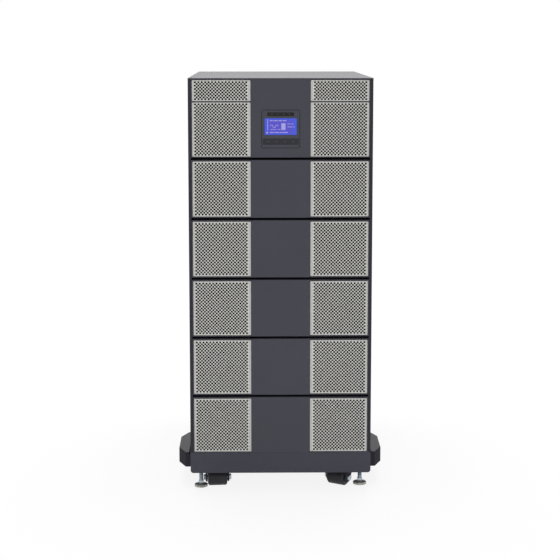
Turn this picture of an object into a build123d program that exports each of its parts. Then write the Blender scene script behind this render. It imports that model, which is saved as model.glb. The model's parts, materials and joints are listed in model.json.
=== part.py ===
"""Rack-tower uninterruptible power supply on casters: rows of plug-in modules behind grilled bezels."""
import os

from build123d import *

# Cabinet, in millimetres: X across, Y from front to rear, Z up from the floor
WIDTH = 430.0
DEPTH = 720.0
FLOOR_CLEARANCE = 48.0
SKIRT_HEIGHT = 50.0
ROW_COUNT = 5
ROW_HEIGHT = 135.0
ROW_GAP = 6.0
HEAD_HEIGHT = 181.0
LID_THICKNESS = 3.0
LID_EDGE_RADIUS = 1.2
PANEL_SHEET = 1.5
PANEL_SETBACK = 4.0
FLANGE_WIDTH = 6.5
BEND_RADIUS = 2.0
FRAME_SHEET = 2.0
FRAME_RIM = 12.0

# Bezels and grilles
BEZEL_GAP = 0.5
BEZEL_DEPTH = 22.0
BEZEL_WALL = 2.5
BEZEL_RIM = 2.0
BEZEL_EDGE = 0.6
CENTRE_WIDTH = 139.0
GRILLE_PROUD = 1.0
GRILLE_SHEET = 1.2
GRILLE_FLANGE = 10.0
GRILLE_FIT = 0.25
GRILLE_EDGE = 1.4
FIELD_MARGIN = 5.0
FIELD_SINK = 0.3
HEAD_SPLIT = 2.5
HEAD_UPPER_GRILLE = 48.5

# Display module in the head bezel
DISPLAY_WIDTH = 87.5
DISPLAY_HEIGHT = 86.4
DISPLAY_DROP = 71.6
DISPLAY_DEPTH = 9.0
DISPLAY_RADIUS = 3.0
DISPLAY_FIT = 0.2
DISPLAY_REVEAL = 1.2
DISPLAY_REVEAL_DEPTH = 1.5
INSERT_FIT = 0.2
INSERT_DEPTH = 2.0
INSERT_SINK = 0.4
STRIP_WIDTH = 62.0
STRIP_HEIGHT = 8.3
STRIP_DROP = 8.9
WINDOW_WIDTH = 74.7
WINDOW_HEIGHT = 38.6
WINDOW_DROP = 37.5
KEYPAD_WIDTH = 83.7
KEYPAD_HEIGHT = 14.5
KEYPAD_DROP = 72.3
KEY_COUNT = 4
KEY_WIDTH = 15.0
KEY_HEIGHT = 9.0
KEY_PITCH = 19.5
KEY_RISE = 0.3
KEY_RADIUS = 2.0

# Shelves and modules
SHELF_RISE = 4.0
MODULE_SPLIT = 10.0
MODULE_SIDE_GAP = 22.5
MODULE_TOP_GAP = 9.0
REAR_PLENUM = 111.5

# Rear face
TERMINAL_SIDE_MARGIN = 25.0
TERMINAL_TOP_MARGIN = 17.0
TERMINAL_DEPTH = 22.0
TERMINAL_CHAMFER = 10.0
TERMINAL_SHEET = 1.5
TERMINAL_RISE = 10.0
KNOCKOUT_RADIUS = 22.0
KNOCKOUT_SINK = 0.5
KNOCKOUT_COUNT = 5
EXHAUST_SPLIT = 40.0
EXHAUST_SIDE_MARGIN = 35.0
EXHAUST_ROW_MARGIN = 15.5
EXHAUST_LIP = 8.0
EXHAUST_SHEET = 1.2
CARD_ZONE = 61.5
CARD_WIDTH = 132.0
CARD_HEIGHT = 38.0
CARD_SHEET = 1.5
CARD_PITCH = 160.0
CARD_DROP = 34.0
CARD_TAB_WIDTH = 24.0
CARD_TAB_REACH = 9.0

# Base
SKIRT_SHEET = 2.0
SKIRT_SETBACK = 2.0
SKIRT_CORNER_RADIUS = 7.0
SKIRT_HEM = 10.0
BASE_PLATE_RISE = 8.0
BASE_PLATE = 4.0

# Side stabilisers
STABILISER_START = 58.0
STABILISER_FRONT_SLOPE = 46.0
STABILISER_STRAIGHT = 102.0
STABILISER_REAR_SLOPE = 44.0
STABILISER_REACH = 32.0
STABILISER_NOSE = 14.5
STABILISER_HEIGHT = 36.0
STABILISER_SHEET = 2.5
STABILISER_EDGE_RADIUS = 2.0
STABILISER_STEP = 6.0
STABILISER_STEP_DEPTH = 8.0

# Casters
CASTER_SIDE_INSET = 60.0
CASTER_INSET = 91.0
CASTER_PLATE_LENGTH = 76.0
CASTER_PLATE_WIDTH = 62.0
CASTER_PLATE = 3.0
CASTER_PLATE_CORNER = 6.0
WHEEL_RADIUS = 20.0
WHEEL_WIDTH = 46.0
WHEEL_EDGE = 3.0
TRAIL = 25.0
FORK_SHEET = 4.0
FORK_SIDE_GAP = 1.5
FORK_CROWN_RADIUS = 22.0
FORK_EYE_RADIUS = 11.0
RACE_RADIUS = 19.0
RACE_HEIGHT = 3.5
RACE_GAP = 0.5
KINGPIN_RADIUS = 6.0
KINGPIN_HEAD_RADIUS = 8.5
KINGPIN_HEAD = 3.2
PIN_CLEARANCE = 0.3
AXLE_RADIUS = 4.0
AXLE_CLEARANCE = 0.1
AXLE_SEAT_CLEARANCE = 0.05
AXLE_HEX = 13.0
AXLE_HEAD = 5.0
SWIVEL_DEGREES = {
    "front_left": 5.0,
    "front_right": -33.0,
    "rear_left": 168.0,
    "rear_right": 196.0,
}

# Levelling feet
FOOT_SIDE_INSET = 24.0
FOOT_INSET = 30.0
FOOT_PAD_RADIUS = 16.0
FOOT_PAD_RIM = 6.0
FOOT_PAD_HEIGHT = 8.0
FOOT_NECK_RADIUS = 8.0
FOOT_HEX = 12.0
FOOT_HEX_HEIGHT = 7.0
STUD_RADIUS = 5.0
STUD_TOP = 66.0
STUD_CLEARANCE = 0.3
FOOT_NUT_HEX = 19.0
FOOT_NUT_HEIGHT = 8.0
FOOT_LIFT = {
    "front_left": 8.0,
    "front_right": 12.5,
    "rear_left": 10.0,
    "rear_right": 10.0,
}

# Rack-ear screw holes in the side panels
EAR_HOLE_RADIUS = 2.75
EAR_INSET = 48.0
EAR_SPACING_Y = 36.0
EAR_SPACING_Z = 101.6

# Levels and planes worked out from the sizes above
FRONT = -DEPTH / 2
BEZEL_FRONT = FRONT + GRILLE_PROUD
FRAME_FRONT = BEZEL_FRONT + BEZEL_DEPTH
FRAME_BACK = FRAME_FRONT + FRAME_SHEET
PANEL_FRONT = FRONT + PANEL_SETBACK
REAR = DEPTH / 2 - TERMINAL_DEPTH
PANEL_REAR = REAR - PANEL_SHEET
INNER_X = WIDTH / 2 - PANEL_SHEET
BASE_TOP = FLOOR_CLEARANCE + SKIRT_HEIGHT
HEAD_BASE = BASE_TOP + ROW_COUNT * (ROW_HEIGHT + ROW_GAP)
LID_BASE = HEAD_BASE + HEAD_HEIGHT
BEZEL_WIDTH = WIDTH - 2 * (FLANGE_WIDTH + BEZEL_GAP)
GRILLE_WIDTH = (BEZEL_WIDTH - CENTRE_WIDTH) / 2 - BEZEL_WALL
GRILLE_X = CENTRE_WIDTH / 2 + GRILLE_WIDTH / 2
MODULE_WIDTH = INNER_X - MODULE_SIDE_GAP - MODULE_SPLIT / 2
MODULE_DEPTH = PANEL_REAR - FRAME_BACK - REAR_PLENUM
EXHAUST_WIDTH = WIDTH / 2 - EXHAUST_SIDE_MARGIN - EXHAUST_SPLIT / 2
TERMINAL_WIDTH = WIDTH - 2 * TERMINAL_SIDE_MARGIN
TERMINAL_HEIGHT = ROW_HEIGHT - TERMINAL_RISE - TERMINAL_TOP_MARGIN
KNOCKOUT_PITCH = TERMINAL_WIDTH / (KNOCKOUT_COUNT + 1)
CASTER_X = WIDTH / 2 - CASTER_SIDE_INSET
FOOT_X = WIDTH / 2 - FOOT_SIDE_INSET
BASE_PLATE_BOTTOM = FLOOR_CLEARANCE + BASE_PLATE_RISE
SKIRT_FRONT = FRONT + SKIRT_SETBACK
CORNERS = {
    "front_left": (-1, -1),
    "front_right": (1, -1),
    "rear_left": (-1, 1),
    "rear_right": (1, 1),
}


def block(low, high):
    """Box between two opposite corners."""
    size = [b - a for a, b in zip(low, high)]
    middle = [(a + b) / 2 for a, b in zip(low, high)]
    return Pos(*middle) * Box(*size)


def upright(sketch, y_front, thickness):
    """Sketch drawn in X and Z, standing with its front face at y_front."""
    return extrude(Plane.XZ.offset(-y_front) * sketch, amount=-thickness)


def rounded_panel(x, z, width, height, radius, y_front, thickness):
    """Upright plate centred on x and z, with rounded corners."""
    return upright(Pos(x, z) * RectangleRounded(width, height, radius), y_front, thickness)


def row_base(index):
    """Lowest level of a bezel, counted up from the base."""
    return BASE_TOP + index * (ROW_HEIGHT + ROW_GAP)


def front_edges(solid):
    """Edges of a solid's foremost face."""
    return solid.faces().sort_by(Axis.Y)[0].edges()


def bezel_shell(base, height):
    """Moulded bezel with a hollow centre panel, before its grille windows are cut."""
    middle = base + height / 2
    shell = upright(Pos(0, middle) * Rectangle(BEZEL_WIDTH, height), BEZEL_FRONT, BEZEL_DEPTH)
    shell = chamfer(front_edges(shell), BEZEL_EDGE)
    inner_width = CENTRE_WIDTH - 2 * BEZEL_WALL
    inner_height = height - 2 * BEZEL_WALL
    inner = Pos(0, middle) * Rectangle(inner_width, inner_height)
    return shell - upright(inner, BEZEL_FRONT + BEZEL_WALL, BEZEL_DEPTH)


def cut_window(shell, low, high):
    """Cut the left and right grille windows between two levels."""
    for side in (-1, 1):
        window = Pos(side * GRILLE_X, (low + high) / 2) * Rectangle(GRILLE_WIDTH, high - low)
        shell = shell - upright(window, FRONT, DEPTH)
    return shell


def grille(side, low, high):
    """Pressed sheet pan with bevelled edges and a slightly sunk field for the perforation."""
    width = GRILLE_WIDTH - 2 * GRILLE_FIT
    height = high - low - 2 * GRILLE_FIT
    centre = Pos(side * GRILLE_X, (low + high) / 2)
    pan = upright(centre * Rectangle(width, height), FRONT, GRILLE_FLANGE)
    pan = chamfer(front_edges(pan), GRILLE_EDGE)
    pan = offset(pan, -GRILLE_SHEET, openings=pan.faces().sort_by(Axis.Y)[-1])
    field = centre * Rectangle(width - 2 * FIELD_MARGIN, height - 2 * FIELD_MARGIN)
    return pan - upright(field, FRONT, FIELD_SINK)


def both_sides(make, *levels):
    """A left and a right copy of a piece."""
    return [make(-1, *levels), make(1, *levels)]


def side_panel(side):
    """Folded side sheet with a front flange and the rack-ear screw holes."""
    outer = side * WIDTH / 2
    inner = side * INNER_X
    lip = side * (WIDTH / 2 - FLANGE_WIDTH)
    fold = PANEL_FRONT + PANEL_SHEET
    plan = Polyline(
        (lip, PANEL_FRONT), (outer, PANEL_FRONT), (outer, PANEL_REAR), (inner, PANEL_REAR),
        (inner, fold), (lip, fold), close=True,
    )
    sheet = extrude(Pos(0, 0, BASE_TOP) * make_face(plan), amount=LID_BASE - BASE_TOP)
    bend = sheet.edges().filter_by(Axis.Z).sort_by_distance((outer, PANEL_FRONT, LID_BASE / 2))[0]
    sheet = fillet(bend, BEND_RADIUS)
    ear_y = PANEL_FRONT + EAR_INSET
    ear_z = row_base(ROW_COUNT - 1) + ROW_HEIGHT / 2
    for dy in (-EAR_SPACING_Y / 2, EAR_SPACING_Y / 2):
        for dz in (-EAR_SPACING_Z / 2, EAR_SPACING_Z / 2):
            drill = Cylinder(EAR_HOLE_RADIUS, 4 * PANEL_SHEET, rotation=(0, 90, 0))
            sheet = sheet - Pos(outer, ear_y + dy, ear_z + dz) * drill
    return sheet


def top_cover():
    """Lid sheet with softened upper edges."""
    lid = block((-WIDTH / 2, BEZEL_FRONT, LID_BASE), (WIDTH / 2, REAR, LID_BASE + LID_THICKNESS))
    return fillet(lid.faces().sort_by(Axis.Z)[-1].edges(), LID_EDGE_RADIUS)


def front_frame():
    """Inner sheet that the bezels clip to, open in front of each module."""
    sheet = block((-INNER_X, FRAME_FRONT, BASE_TOP), (INNER_X, FRAME_BACK, LID_BASE))
    for index in range(ROW_COUNT + 1):
        low = row_base(index) + SHELF_RISE
        high = row_base(index) + ROW_HEIGHT - SHELF_RISE
        for side in (-1, 1):
            near = side * MODULE_SPLIT / 2
            far = side * (INNER_X - FRAME_RIM)
            opening = block(
                (min(near, far), FRAME_FRONT, low), (max(near, far), FRAME_BACK, high)
            )
            sheet = sheet - opening
    return sheet


def shelf(index):
    """Shelf sheet under one row of modules; the lowest one is the cabinet floor."""
    top = row_base(index) + SHELF_RISE
    bottom = BASE_TOP if index == 0 else top - FRAME_SHEET
    return block((-INNER_X, FRAME_BACK, bottom), (INNER_X, PANEL_REAR, top))


def module(side, index):
    """Plug-in module standing on its shelf."""
    bottom = row_base(index) + SHELF_RISE
    near = side * MODULE_SPLIT / 2
    far = side * (MODULE_SPLIT / 2 + MODULE_WIDTH)
    top = row_base(index) + ROW_HEIGHT - MODULE_TOP_GAP
    return block((min(near, far), FRAME_BACK, bottom), (max(near, far), FRAME_BACK + MODULE_DEPTH, top))


def exhaust_windows():
    """Centre and height of each rear exhaust window, one behind each module above the terminals."""
    windows = []
    for index in range(1, ROW_COUNT + 1):
        low = row_base(index) + EXHAUST_ROW_MARGIN
        high = row_base(index) + ROW_HEIGHT - EXHAUST_ROW_MARGIN
        if index == ROW_COUNT:
            high = LID_BASE - CARD_ZONE
        for side in (-1, 1):
            x = side * (EXHAUST_SPLIT + EXHAUST_WIDTH) / 2
            windows.append((x, (low + high) / 2, high - low))
    return windows


def rear_panel():
    """Rear sheet with an exhaust window behind each module."""
    sheet = block((-WIDTH / 2, PANEL_REAR, BASE_TOP), (WIDTH / 2, REAR, LID_BASE))
    for x, z, height in exhaust_windows():
        sheet = sheet - upright(Pos(x, z) * Rectangle(EXHAUST_WIDTH, height), PANEL_REAR, PANEL_SHEET)
    return sheet


def exhaust_grille(x, z, height):
    """Flanged exhaust insert: a plate over the window's edge and a raised field in the window."""
    plate = Rectangle(EXHAUST_WIDTH + 2 * EXHAUST_LIP, height + 2 * EXHAUST_LIP)
    field = Rectangle(EXHAUST_WIDTH - 2 * GRILLE_FIT, height - 2 * GRILLE_FIT)
    flange = upright(Pos(x, z) * plate, REAR, EXHAUST_SHEET)
    return flange + upright(Pos(x, z) * field, PANEL_REAR, PANEL_SHEET)


def card_slot_cover(side):
    """Blank cover of an accessory slot, with a finger tab at each end."""
    x = side * CARD_PITCH / 2
    z = LID_BASE - CARD_DROP
    plate = Rectangle(CARD_WIDTH, CARD_HEIGHT)
    tabs = Rectangle(CARD_WIDTH + 2 * CARD_TAB_REACH, CARD_TAB_WIDTH)
    outline = plate + tabs
    return upright(Pos(x, z) * outline, REAR, CARD_SHEET)


def terminal_cover():
    """Sheet-metal box over the power terminals, with a row of closed conduit knock-outs."""
    low = BASE_TOP + TERMINAL_RISE
    middle = low + TERMINAL_HEIGHT / 2
    box = upright(Pos(0, middle) * Rectangle(TERMINAL_WIDTH, TERMINAL_HEIGHT), REAR, TERMINAL_DEPTH)
    rear_top = box.faces().sort_by(Axis.Y)[-1].edges().filter_by(Axis.X).sort_by(Axis.Z)[-1]
    box = chamfer(rear_top, TERMINAL_CHAMFER)
    box = offset(box, -TERMINAL_SHEET, openings=box.faces().sort_by(Axis.Y)[0])
    for index in range(KNOCKOUT_COUNT):
        x = (index - (KNOCKOUT_COUNT - 1) / 2) * KNOCKOUT_PITCH
        ring = Pos(x, middle) * Circle(KNOCKOUT_RADIUS)
        box = box - upright(ring, REAR + TERMINAL_DEPTH - KNOCKOUT_SINK, KNOCKOUT_SINK)
    return box


def base_skirt():
    """Welded skirt: front and rear aprons with rounded lower corners and hems, and plain sides."""
    side_bottom = FLOOR_CLEARANCE + SKIRT_CORNER_RADIUS
    ring = block((-WIDTH / 2, SKIRT_FRONT, side_bottom), (WIDTH / 2, REAR, BASE_TOP))
    inner = WIDTH / 2 - SKIRT_SHEET
    ring = ring - block((-inner, SKIRT_FRONT + SKIRT_SHEET, 0), (inner, REAR - SKIRT_SHEET, BASE_TOP))
    apron = Pos(0, FLOOR_CLEARANCE + SKIRT_HEIGHT / 2) * Rectangle(WIDTH, SKIRT_HEIGHT)
    apron = fillet(apron.vertices().group_by(Axis.Y)[0], SKIRT_CORNER_RADIUS)
    ring = ring + upright(apron, SKIRT_FRONT, SKIRT_SHEET)
    ring = ring + upright(apron, REAR - SKIRT_SHEET, SKIRT_SHEET)
    hem_x = WIDTH / 2 - SKIRT_CORNER_RADIUS
    hem_top = FLOOR_CLEARANCE + SKIRT_SHEET
    ring = ring + block((-hem_x, SKIRT_FRONT, FLOOR_CLEARANCE), (hem_x, SKIRT_FRONT + SKIRT_HEM, hem_top))
    return ring + block((-hem_x, REAR - SKIRT_HEM, FLOOR_CLEARANCE), (hem_x, REAR, hem_top))


def station(corner, x, inset):
    """Plan position of a caster or foot at one corner of the base."""
    side, end = CORNERS[corner]
    y = FRONT + inset if end < 0 else REAR - inset
    return side * x, y


def base_plate():
    """Load plate between the skirts, with a weld nut and hole for each levelling stud."""
    inner = WIDTH / 2 - SKIRT_SHEET
    plate = block(
        (-inner, SKIRT_FRONT + SKIRT_SHEET, BASE_PLATE_BOTTOM),
        (inner, REAR - SKIRT_SHEET, BASE_PLATE_BOTTOM + BASE_PLATE),
    )
    for corner in CORNERS:
        x, y = station(corner, FOOT_X, FOOT_INSET)
        nut = hexagon(FOOT_NUT_HEX, FOOT_NUT_HEIGHT)
        hole = Cylinder(STUD_RADIUS + STUD_CLEARANCE, 4 * BASE_PLATE + 4 * FOOT_NUT_HEIGHT)
        plate = plate + Pos(x, y, BASE_PLATE_BOTTOM - FOOT_NUT_HEIGHT) * nut
        plate = plate - Pos(x, y, BASE_PLATE_BOTTOM) * hole
    return plate


def stabiliser(side):
    """Folded outrigger at the lower front of a side, its top stepped down beside the panel."""
    root = side * WIDTH / 2
    nose = side * (WIDTH / 2 + STABILISER_NOSE)
    reach = side * (WIDTH / 2 + STABILISER_REACH)
    y0 = FRONT + STABILISER_START
    y1 = y0 + STABILISER_FRONT_SLOPE
    y2 = y1 + STABILISER_STRAIGHT
    y3 = y2 + STABILISER_REAR_SLOPE
    plan = Polyline((root, y0), (nose, y0), (reach, y1), (reach, y2), (nose, y3), (root, y3), close=True)
    shell = extrude(Pos(0, 0, FLOOR_CLEARANCE) * make_face(plan), amount=STABILISER_HEIGHT)
    top = shell.faces().sort_by(Axis.Z)[-1]
    outer = [e for e in top.edges() if abs(e.center().X) > abs(root) + PANEL_SHEET]
    shell = fillet(outer, STABILISER_EDGE_RADIUS)
    high = FLOOR_CLEARANCE + STABILISER_HEIGHT
    edge = root + side * STABILISER_STEP
    step = block((min(root, edge), y0, high - STABILISER_STEP_DEPTH), (max(root, edge), y3, high))
    shell = shell - step
    return offset(shell, -STABILISER_SHEET, openings=shell.faces().sort_by(Axis.Z)[0])


def hexagon(across_flats, height):
    """Upright hexagonal prism standing on its own base."""
    return extrude(RegularPolygon(across_flats / 2, 6, major_radius=False), amount=height)


CASTER_PLATE_BOTTOM = BASE_PLATE_BOTTOM - CASTER_PLATE
CROWN_TOP = CASTER_PLATE_BOTTOM - RACE_GAP - RACE_HEIGHT
CROWN_BOTTOM = CROWN_TOP - FORK_SHEET
LEG_INNER = WHEEL_WIDTH / 2 + FORK_SIDE_GAP
LEG_OUTER = LEG_INNER + FORK_SHEET


def caster_frame(corner):
    """Location that puts a caster, drawn at the origin with its wheel towards -Y, at its corner."""
    x, y = station(corner, CASTER_X, CASTER_INSET)
    return Pos(x, y, 0) * Rot(0, 0, SWIVEL_DEGREES[corner])


def caster_plate(corner):
    """Fixed top plate with its riveted kingpin."""
    x, y = station(corner, CASTER_X, CASTER_INSET)
    outline = Rectangle(CASTER_PLATE_LENGTH, CASTER_PLATE_WIDTH)
    outline = chamfer(outline.vertices(), CASTER_PLATE_CORNER)
    plate = Pos(0, 0, CASTER_PLATE_BOTTOM) * extrude(outline, amount=CASTER_PLATE)
    head_top = CROWN_BOTTOM - PIN_CLEARANCE
    head_bottom = head_top - KINGPIN_HEAD
    profile = Polyline(
        (0, head_bottom), (KINGPIN_HEAD_RADIUS, head_bottom), (KINGPIN_HEAD_RADIUS, head_top),
        (KINGPIN_RADIUS, head_top), (KINGPIN_RADIUS, CASTER_PLATE_BOTTOM),
        (0, CASTER_PLATE_BOTTOM), close=True,
    )
    return Pos(x, y, 0) * (plate + revolve(Plane.XZ * make_face(profile), Axis.Z))


def caster_fork():
    """Pressed swivel fork: crown, bearing race and two tapering legs with axle eyes."""
    crown_round = Circle(FORK_CROWN_RADIUS)
    crown_arms = Pos(0, -TRAIL / 2) * Rectangle(2 * LEG_OUTER, TRAIL)
    crown = Pos(0, 0, CROWN_BOTTOM) * extrude(crown_round + crown_arms, amount=FORK_SHEET)
    race = Pos(0, 0, CROWN_TOP) * extrude(Circle(RACE_RADIUS), amount=RACE_HEIGHT)
    eye = Pos(-TRAIL, WHEEL_RADIUS) * Circle(FORK_EYE_RADIUS)
    root = Pos(-TRAIL / 2, CROWN_TOP - FORK_SHEET / 2) * Rectangle(TRAIL, FORK_SHEET)
    leg_outline = make_hull(eye.edges() + root.edges())
    fork = crown + race
    for x in (-LEG_OUTER, LEG_INNER):
        fork = fork + Pos(x, 0, 0) * extrude(Plane.YZ * leg_outline, amount=FORK_SHEET)
    fork = fork - Cylinder(KINGPIN_RADIUS + PIN_CLEARANCE, 4 * CROWN_TOP)
    eye_hole = Cylinder(AXLE_RADIUS + AXLE_SEAT_CLEARANCE, 4 * LEG_OUTER, rotation=(0, 90, 0))
    return fork - Pos(0, -TRAIL, WHEEL_RADIUS) * eye_hole


def caster_axle():
    """Axle bolt with a hexagon head and nut outside the fork legs."""
    shaft = Cylinder(AXLE_RADIUS, 2 * (LEG_OUTER + AXLE_HEAD), rotation=(0, 90, 0))
    head = Pos(LEG_OUTER, 0, 0) * Rot(0, 90, 0) * hexagon(AXLE_HEX, AXLE_HEAD)
    nut = Pos(-LEG_OUTER, 0, 0) * Rot(0, -90, 0) * hexagon(AXLE_HEX, AXLE_HEAD)
    return Pos(0, -TRAIL, WHEEL_RADIUS) * (shaft + head + nut)


def caster_wheel():
    """Solid roller with bevelled tread edges and an axle bore."""
    bore = AXLE_RADIUS + AXLE_CLEARANCE
    tread = Rectangle(WHEEL_RADIUS - bore, WHEEL_WIDTH, align=(Align.MIN, Align.CENTER))
    tread = Pos(bore, 0) * chamfer(tread.vertices().group_by(Axis.X)[-1], WHEEL_EDGE)
    roller = revolve(Plane.XZ * tread, Axis.Z)
    return Pos(0, -TRAIL, WHEEL_RADIUS) * Rot(0, 90, 0) * roller


def levelling_foot(corner):
    """Screw foot: a pad with a coned top, a hexagon collar and a stud."""
    profile = Polyline(
        (0, 0), (FOOT_PAD_RADIUS, 0), (FOOT_PAD_RADIUS, FOOT_PAD_RIM), (FOOT_NECK_RADIUS, FOOT_PAD_HEIGHT),
        (STUD_RADIUS, FOOT_PAD_HEIGHT), (STUD_RADIUS, STUD_TOP), (0, STUD_TOP), close=True,
    )
    foot = revolve(Plane.XZ * make_face(profile), Axis.Z)
    foot = foot + Pos(0, 0, FOOT_PAD_HEIGHT) * hexagon(FOOT_HEX, FOOT_HEX_HEIGHT)
    x, y = station(corner, FOOT_X, FOOT_INSET)
    return Pos(x, y, FOOT_LIFT[corner]) * foot


DISPLAY_TOP = LID_BASE - DISPLAY_DROP
DISPLAY_Z = DISPLAY_TOP - DISPLAY_HEIGHT / 2
INSERT_FRONT = FRONT + INSERT_SINK


def insert_pocket(drop, width, height):
    """Pocket in the display housing for one of its inserts."""
    z = DISPLAY_TOP - drop
    return upright(Pos(0, z) * Rectangle(width, height), FRONT, INSERT_SINK + INSERT_DEPTH)


def display_housing():
    """Display housing seated in the head bezel, with pockets for the strip, window and keypad."""
    body = rounded_panel(0, DISPLAY_Z, DISPLAY_WIDTH, DISPLAY_HEIGHT, DISPLAY_RADIUS, FRONT, DISPLAY_DEPTH)
    body = chamfer(front_edges(body), BEZEL_EDGE)
    body = body - insert_pocket(STRIP_DROP, STRIP_WIDTH, STRIP_HEIGHT)
    body = body - insert_pocket(WINDOW_DROP, WINDOW_WIDTH, WINDOW_HEIGHT)
    return body - insert_pocket(KEYPAD_DROP, KEYPAD_WIDTH, KEYPAD_HEIGHT)


def display_insert(drop, width, height):
    """Flat insert seated on the floor of its pocket."""
    z = DISPLAY_TOP - drop
    outline = Pos(0, z) * Rectangle(width - 2 * INSERT_FIT, height - 2 * INSERT_FIT)
    return upright(outline, INSERT_FRONT, INSERT_DEPTH)


def keypad():
    """Key strip with a row of low keys."""
    strip = display_insert(KEYPAD_DROP, KEYPAD_WIDTH, KEYPAD_HEIGHT)
    z = DISPLAY_TOP - KEYPAD_DROP
    for index in range(KEY_COUNT):
        x = (index - (KEY_COUNT - 1) / 2) * KEY_PITCH
        outline = Pos(x, z) * RectangleRounded(KEY_WIDTH, KEY_HEIGHT, KEY_RADIUS)
        strip = strip + upright(outline, INSERT_FRONT - KEY_RISE, KEY_RISE)
    return strip


def head_bezel():
    """Head bezel with two windows a side and the opening for the display, with a reveal round it."""
    shell = bezel_shell(HEAD_BASE, HEAD_HEIGHT)
    shell = cut_window(shell, HEAD_BASE + BEZEL_RIM, HEAD_LOWER_TOP)
    shell = cut_window(shell, HEAD_UPPER_BASE, LID_BASE - BEZEL_RIM)
    width = DISPLAY_WIDTH + 2 * DISPLAY_FIT
    height = DISPLAY_HEIGHT + 2 * DISPLAY_FIT
    radius = DISPLAY_RADIUS + DISPLAY_FIT
    opening = rounded_panel(0, DISPLAY_Z, width, height, radius, FRONT, DISPLAY_DEPTH)
    groove = offset(Pos(0, DISPLAY_Z) * RectangleRounded(width, height, radius), DISPLAY_REVEAL)
    return shell - opening - upright(groove, FRONT, GRILLE_PROUD + DISPLAY_REVEAL_DEPTH)


HEAD_UPPER_BASE = LID_BASE - BEZEL_RIM - HEAD_UPPER_GRILLE
HEAD_LOWER_TOP = HEAD_UPPER_BASE - HEAD_SPLIT

nodes = {
    "left_side_panel": side_panel(-1),
    "right_side_panel": side_panel(1),
    "top_cover": top_cover(),
    "rear_panel": rear_panel(),
    "front_frame": front_frame(),
    "row_shelves": [shelf(index) for index in range(ROW_COUNT + 1)],
    "base_skirt": base_skirt(),
    "base_plate": base_plate(),
    "left_stabiliser": stabiliser(-1),
    "right_stabiliser": stabiliser(1),
    "head_bezel": head_bezel(),
    "head_upper_grilles": both_sides(grille, HEAD_UPPER_BASE, LID_BASE - BEZEL_RIM),
    "head_lower_grilles": both_sides(grille, HEAD_BASE + BEZEL_RIM, HEAD_LOWER_TOP),
    "display_housing": display_housing(),
    "display_window": display_insert(WINDOW_DROP, WINDOW_WIDTH, WINDOW_HEIGHT),
    "status_strip": display_insert(STRIP_DROP, STRIP_WIDTH, STRIP_HEIGHT),
    "keypad": keypad(),
    "rear_exhaust_grilles": [exhaust_grille(*window) for window in exhaust_windows()],
    "card_slot_covers": both_sides(card_slot_cover),
    "terminal_cover": terminal_cover(),
    "caster_plates": [caster_plate(corner) for corner in CORNERS],
    "plug_in_modules": [module(side, index) for index in range(ROW_COUNT + 1) for side in (-1, 1)],
}

for index in range(ROW_COUNT):
    row = f"row_{ROW_COUNT + 1 - index}"
    low = row_base(index)
    window_low = low + BEZEL_RIM
    window_high = low + ROW_HEIGHT - BEZEL_RIM
    nodes[f"{row}_bezel"] = cut_window(bezel_shell(low, ROW_HEIGHT), window_low, window_high)
    nodes[f"{row}_grilles"] = both_sides(grille, window_low, window_high)

for corner in CORNERS:
    nodes[f"{corner}_caster_fork"] = caster_frame(corner) * caster_fork()
    nodes[f"{corner}_caster_axle"] = caster_frame(corner) * caster_axle()
    nodes[f"{corner}_caster_wheel"] = caster_frame(corner) * caster_wheel()
    nodes[f"{corner}_levelling_foot"] = levelling_foot(corner)

os.makedirs("parts", exist_ok=True)
for name, shape in nodes.items():
    solid = Compound(children=shape) if isinstance(shape, list) else shape
    export_step(solid, f"parts/{name}.step")
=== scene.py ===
import json
from functools import reduce
from math import cos, pi, radians, sin, sqrt, tan, tau

import bmesh
import bpy
from bmesh.types import BMEdge, BMFace, BMVert
from mathutils import Matrix, Vector


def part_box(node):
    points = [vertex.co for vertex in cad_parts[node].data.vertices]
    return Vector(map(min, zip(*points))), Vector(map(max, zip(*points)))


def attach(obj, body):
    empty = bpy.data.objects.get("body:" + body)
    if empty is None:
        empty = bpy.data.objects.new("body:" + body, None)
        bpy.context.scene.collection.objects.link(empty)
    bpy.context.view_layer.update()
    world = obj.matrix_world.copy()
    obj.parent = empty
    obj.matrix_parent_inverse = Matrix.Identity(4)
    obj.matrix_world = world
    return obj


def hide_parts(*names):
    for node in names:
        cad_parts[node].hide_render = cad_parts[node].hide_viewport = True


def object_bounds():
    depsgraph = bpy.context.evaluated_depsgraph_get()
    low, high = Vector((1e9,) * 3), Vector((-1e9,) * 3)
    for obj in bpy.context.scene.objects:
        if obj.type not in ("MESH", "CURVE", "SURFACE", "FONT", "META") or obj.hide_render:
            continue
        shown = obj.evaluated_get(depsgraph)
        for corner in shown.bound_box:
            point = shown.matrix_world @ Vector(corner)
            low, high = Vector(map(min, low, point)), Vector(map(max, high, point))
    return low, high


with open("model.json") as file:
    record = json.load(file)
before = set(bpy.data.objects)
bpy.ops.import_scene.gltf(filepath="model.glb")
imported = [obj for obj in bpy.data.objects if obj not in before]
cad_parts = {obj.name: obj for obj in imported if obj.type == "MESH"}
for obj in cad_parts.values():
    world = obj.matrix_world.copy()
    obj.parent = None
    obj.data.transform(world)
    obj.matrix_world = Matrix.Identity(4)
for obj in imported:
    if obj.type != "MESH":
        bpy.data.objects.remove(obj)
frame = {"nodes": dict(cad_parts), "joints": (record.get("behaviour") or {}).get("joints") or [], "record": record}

bl_info = {
    "name": "Power Tower Dresser",
    "version": (1, 0, 0),
    "blender": (4, 5, 0),
    "location": "View3D > Sidebar > Power Tower",
    "description": "Finishes, grilles, display, fasteners, feet and studio for a rack-tower power supply",
    "category": "Object",
}

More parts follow.
